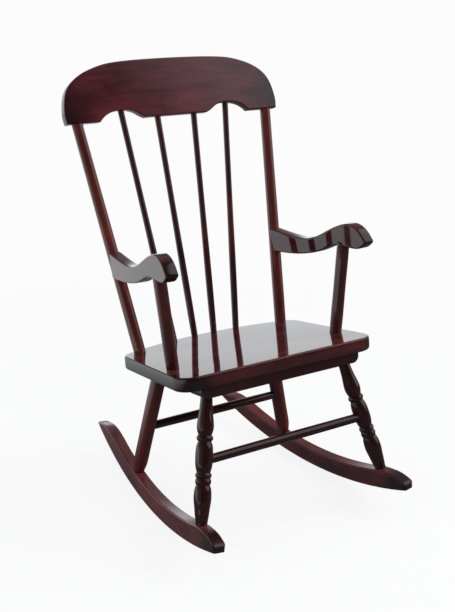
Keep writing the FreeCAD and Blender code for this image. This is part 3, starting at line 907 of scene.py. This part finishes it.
@dataclass
class CrestRail:
    """The crest rail: a flat leaning board with an arched top and two ogee arches below."""

    plan: Plan
    finishes: Finishes
    edge: float = 0.0018
    top_points: int = 150
    arch_points: int = 44
    end_points: int = 24
    flat_points: int = 50
    top_shares: Sequence[Pair] = (
        (0.996, 0.0), (1.005, 0.13), (1.0, 0.26), (0.986, 0.4), (0.962, 0.53), (0.926, 0.635), (0.872, 0.73),
        (0.8, 0.815), (0.718, 0.88), (0.6, 0.945), (0.48, 0.975), (0.25, 0.995), (0.0, 1.0))
    arch_shares: Sequence[Pair] = (
        (0.708, 0.0), (0.676, 0.062), (0.628, 0.123), (0.56, 0.162), (0.487, 0.172), (0.425, 0.158),
        (0.374, 0.118), (0.334, 0.064), (0.292, 0.024))

    def build(self) -> None:
        """Builds the rail.

        Formula: the outline runs from the right corner over the top to the left corner, and back along the flats
        and the two arches.
        """
        plan = self.plan
        scale = np.array([plan.crest_half_width, plan.crest_height])
        half = np.array(self.top_shares) * scale
        top = spline_through(np.concatenate([half, flipped(half[-2::-1])]), self.top_points)
        arch = spline_through(np.array(self.arch_shares) * scale, self.arch_points)
        left = flipped(arch)
        lower = np.concatenate([
            np.linspace(top[-1], left[0], self.end_points)[1:-1],
            left,
            np.linspace(left[-1], arch[-1], self.flat_points)[1:-1],
            arch[::-1],
            np.linspace(arch[0], top[0], self.end_points)[1:-1]])
        rings = board_rings(np.concatenate([top, lower]), plan.crest_thickness, self.edge)
        shell = board_shell(plan.on_crest(*np.moveaxis(rings, -1, 0)))
        piece("crest_board", shell, self.finishes.wood("crest", Cut.CREST, (1.0, 0.0, 0.0)), "crest_rail")


@dataclass
class Arms:
    """The two arms: flat boards sawn to a scroll, turned in towards the back."""

    plan: Plan
    finishes: Finishes
    thickness: float = 0.020
    turn: float = 5.3
    front_y: float = -0.11975
    low_height: float = 0.3574
    rise: float = 0.0852
    end_setback: float = 0.003
    rear_share: float = 0.448
    under_share: float = 0.545
    support_setback: float = 0.055
    support_inset: float = 0.0025
    edge: float = 0.0026
    curve_points: int = 210
    end_points: int = 8
    shares: Sequence[Pair] = (
        (0.84, 0.436), (0.7, 0.44), (0.58, 0.482), (0.45, 0.632), (0.35, 0.795), (0.25, 0.93), (0.165, 0.99),
        (0.107, 0.965), (0.066, 0.91), (0.035, 0.842), (0.013, 0.783), (0.001, 0.74), (0.002, 0.712),
        (0.014, 0.672), (0.039, 0.612), (0.075, 0.57), (0.124, 0.55), (0.2, 0.545), (0.275, 0.52), (0.35, 0.44),
        (0.45, 0.3), (0.565, 0.187), (0.7, 0.095), (0.82, 0.042))

    def half_spread(self) -> float:
        """Gives the distance of an arm's middle line from the chair's middle at y 0."""
        joint = self.plan.on_post(self.low_height + self.rise * self.rear_share / 2)
        return joint[0] + joint[1] * math.tan(math.radians(self.turn))

    def placed(self, along: Any, height: Any, aside: Any) -> Array:
        """Gives the point of the right arm at a distance along it, a height and a distance to its right."""
        return joined(*turned((self.half_spread(), 0.0), self.turn, aside, along), height)

    def support_top(self) -> Array:
        """Gives where the right arm's support meets it."""
        height = self.low_height + self.rise * self.under_share
        top = self.placed(self.front_y + self.support_setback, height, 0.0)
        return top - np.array([self.support_inset, 0.0, 0.0])

    def build(self) -> None:
        """Builds both arms.

        Formula: the outline is one smooth curve from the top of the rear end round the scroll to its foot, closed
        by a straight end in line with the post.
        """
        high = self.low_height + self.rise * self.rear_share
        rear_top = np.array([self.plan.on_post(high)[1] - self.end_setback, high])
        rear_low = np.array([self.plan.on_post(self.low_height)[1] - self.end_setback, self.low_height])
        length = rear_top[0] - self.front_y
        points = np.array([self.front_y, self.low_height]) + np.array(self.shares) * np.array([length, self.rise])
        curve = spline_through(np.concatenate([[rear_top], points, [rear_low]]), self.curve_points)
        outline = np.concatenate([curve, np.linspace(rear_low, rear_top, self.end_points)[1:-1]])
        rings = board_rings(outline, self.thickness, self.edge)
        along, height, depth = np.moveaxis(rings, -1, 0)
        placed = self.placed(along, height, self.thickness / 2 - depth)
        axis = self.placed(1.0, 0.0, 0.0) - self.placed(0.0, 0.0, 0.0)
        for name, points, direction in (
                ("arm_right", placed, axis), ("arm_left", flipped(placed)[:, ::-1], flipped(axis))):
            piece(name + "_board", board_shell(points), self.finishes.wood(name, Cut.ARM, direction), name)


@dataclass
class CarriedNodes:
    """The pieces whose solids stay as they are and take a finish: posts, rockers, batten and screws."""

    plan: Plan
    finishes: Finishes

    def dress(self, node: str, material: bpy.types.Material) -> None:
        """Gives a node's mesh one material."""
        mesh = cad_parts[node].data
        mesh.materials.clear()
        mesh.materials.append(material)

    def build(self) -> None:
        """Dresses every carried node."""
        base, top = self.plan.post_line()
        toe = np.array([*turned((0.0, 0.0), self.plan.rocker_toe_in, 0.0, 1.0), 0.0])
        for side, placed in (("right", np.array), ("left", flipped)):
            for name, cut, axis in (("back_post_", Cut.TURNED, top - base), ("rocker_", Cut.ROCKER, toe)):
                self.dress(name + side, self.finishes.wood(name + side, cut, placed(axis)))
        # The batten takes the darker copy: painted shade under the seat.
        self.dress("front_batten", self.finishes.wood("front_batten", Cut.SHADED, (1.0, 0.0, 0.0)))
        steel = ScrewSteel().material()
        for node in ("arm_screws", "batten_screws", "rocker_screws"):
            self.dress(node, steel)


# The studio

@dataclass(frozen=True)
class Lamp:
    """A rectangular soft lamp.

    Attributes:
        name: Its name.
        place: Where it hangs.
        size: Its two sides.
        power: Its power in watts.
        aim: How high above the frame's origin it aims.
    """

    name: str
    place: Triple
    size: Pair
    power: float
    aim: float = 0.4

    def hang(self) -> None:
        """Adds the lamp, unseen by the camera and in reflections."""
        data = bpy.data.lights.new(self.name, "AREA")
        data.shape = "RECTANGLE"
        data.size, data.size_y = self.size
        data.energy = self.power
        made = added(self.name, data)
        made.location = self.place
        back = Vector(self.place) - Vector((0.0, 0.0, self.aim))
        made.rotation_euler = back.to_track_quat("Z", "Y").to_euler()
        made.visible_camera = False
        made.visible_glossy = False


@dataclass
class Studio:
    """A pale floor, soft lamps, a white surround and the camera.

    The camera's rays, and those that have passed a surface, see plain white. Reflections see the backdrop, the
    panel and the left light instead.

    Attributes:
        eye: The camera's place.
        azimuth: Its turn, in degrees.
        elevation: How far it looks down, in degrees.
        focal_pixels: Its focal length, in pixels.
        frame_pixels: The photograph's height.
        sensor: The sensor's height, in millimetres.
        white: How bright plain white is.
        plain: Its colour.
        cool: The colour of the lights.
        dim: The surround's least light.
        backdrop: The light behind the chair, by the direction's Y.
        backdrop_rise: What is left of it higher up, by Z.
        panel_toward: The direction of a panel.
        panel: Its light, by the cosine from that direction.
        left: A faint light, by X.
        floor_size: The floor's side.
        floor_slant: How far sideways the floor's light runs as it goes back.
        floor_light: The light, by the distance back.
        floor_colour: The colour of the matt floor.
        floor_fade: How plain white takes over from it, by the distance from the middle.
        lamps: The lamps.
    """

    eye: Triple = (-0.7939, -1.28045, 0.8232)
    azimuth: float = -31.436
    elevation: float = 18.76
    focal_pixels: float = 1000.0
    frame_pixels: float = 612.0
    sensor: float = 36.0
    white: float = 0.973
    plain: Colour = (1.0, 1.0, 1.0)
    cool: Colour = (0.93, 1.0, 1.03)
    dim: float = 0.05
    backdrop: Ramp = Ramp(-0.05, 0.35, 1.58)
    backdrop_rise: Ramp = Ramp(0.06, 0.3, 0.12, 1.0)
    panel_toward: Triple = (0.76, -0.3, 0.58)
    panel: Ramp = Ramp(0.8, 0.88, 1.2)
    left: Ramp = Ramp(-0.55, -0.95, 0.3)
    floor_size: float = 14.0
    floor_slant: float = 0.9
    floor_light: Ramp = Ramp(0.25, 1.4, 1.3, 0.14)
    floor_colour: Colour = (0.86, 0.86, 0.86)
    floor_fade: Ramp = Ramp(0.4, 1.5, 1.0, 0.89)
    lamps: Sequence[Lamp] = (
        Lamp("right", (1.9, -0.9, 1.6), (1.0, 1.0), 34.0), Lamp("left", (-2.0, 0.0, 1.4), (0.8, 1.4), 14.0),
        Lamp("overhead", (0.0, 0.3, 2.4), (1.8, 1.8), 24.0, aim=0.3),
        Lamp("fill", (-0.5, -2.4, 1.6), (1.6, 1.6), 14.0))

    def camera(self) -> None:
        """Sets the camera at the photograph's viewing angle."""
        data = bpy.data.cameras.new("camera")
        data.sensor_fit = "VERTICAL"
        data.sensor_height = self.sensor
        data.lens = self.focal_pixels * self.sensor / self.frame_pixels
        made = added("camera", data)
        made.location = self.eye
        made.rotation_euler = Euler((math.radians(90 - self.elevation), 0.0, math.radians(self.azimuth)))
        bpy.context.scene.camera = made

    def glow(self, graph: Graph, kind: str, light: Socket, shown: Socket) -> Socket:
        """Adds a shader that glows plain white for the rays of shown_share, and with the cool light for others."""
        strength = graph.add("ShaderNodeMix", {0: shown, 2: light, 3: self.white}, data_type="FLOAT").outputs[0]
        return graph.add(kind, {
            "Color": graph.mixed(shown, self.cool, self.plain), "Strength": strength}).outputs[0]

    def shown_share(self, graph: Graph) -> Socket:
        """Adds nodes that give 1 for the camera's rays and those that have passed a surface, else 0."""
        rays = graph.add("ShaderNodeLightPath").outputs
        return graph.math("MAXIMUM", rays["Is Camera Ray"], rays["Is Transmission Ray"])

    def world(self) -> None:
        """Surrounds the chair with white, which reflections see as a few lights in a dark studio."""
        world = bpy.data.worlds.new("studio")
        bpy.context.scene.world = world
        world.use_nodes = True
        graph = Graph(world.node_tree)
        place = graph.add("ShaderNodeTexCoord").outputs["Generated"]
        towards = graph.add("ShaderNodeSeparateXYZ", {0: place}).outputs
        back = graph.math("MULTIPLY", graph.ranged(towards["Y"], self.backdrop),
                          graph.ranged(towards["Z"], self.backdrop_rise))
        aside = graph.vector("DOT_PRODUCT", place, Vector(self.panel_toward).normalized())["Value"]
        light = graph.math("MAXIMUM", graph.math("ADD", back, self.dim), graph.ranged(aside, self.panel))
        light = graph.math("MAXIMUM", light, graph.ranged(towards["X"], self.left))
        glow = self.glow(graph, "ShaderNodeBackground", light, self.shown_share(graph))
        graph.add("ShaderNodeOutputWorld", {"Surface": glow})

    def floor(self) -> None:
        """Lays a pale floor that fades into the white surround and keeps the chair's shadow."""
        half = self.floor_size / 2
        mesh = bpy.data.meshes.new("floor")
        corners = [(-half, -half, 0.0), (half, -half, 0.0), (half, half, 0.0), (-half, half, 0.0)]
        mesh.from_pydata(corners, [], [(0, 1, 2, 3)])
        material, graph = blank_material("pale_floor")
        shown = self.shown_share(graph)
        place = graph.add("ShaderNodeTexCoord").outputs["Object"]
        spot = graph.add("ShaderNodeSeparateXYZ", {0: place}).outputs
        depth = graph.math("SUBTRACT", spot["Y"], graph.math("MULTIPLY", spot["X"], self.floor_slant))
        glow = self.glow(graph, "ShaderNodeEmission", graph.ranged(depth, self.floor_light), shown)
        matt = graph.add("ShaderNodeBsdfDiffuse", {"Color": (*self.floor_colour, 1.0)})
        faded = graph.ranged(graph.vector("LENGTH", place)["Value"], self.floor_fade)
        share = graph.math("MAXIMUM", faded, graph.math("SUBTRACT", 1.0, shown))
        mix = graph.add("ShaderNodeMixShader", {0: share, 1: matt.outputs[0], 2: glow})
        graph.add("ShaderNodeOutputMaterial", {"Surface": mix.outputs[0]})
        mesh.materials.append(material)
        made = added("floor", mesh)

    def build(self) -> None:
        """Sets up the whole studio."""
        bpy.context.scene.view_settings.view_transform = "Standard"
        self.camera()
        self.world()
        self.floor()
        for lamp in self.lamps:
            lamp.hang()


def main() -> None:
    """Builds the chair's pieces and the studio."""
    logging.basicConfig(level=logging.INFO, format="%(name)s: %(message)s")
    plan, finishes = Plan(), Finishes()
    arms = Arms(plan, finishes)
    rods = TurnedFrame(plan, finishes, arms.support_top())
    for part in (SeatBoard(plan, finishes), CrestRail(plan, finishes), arms, rods,
                 CarriedNodes(plan, finishes), Studio()):
        part.build()
        LOG.info("%s built", type(part).__name__)


if __name__ == "__main__":
    main()
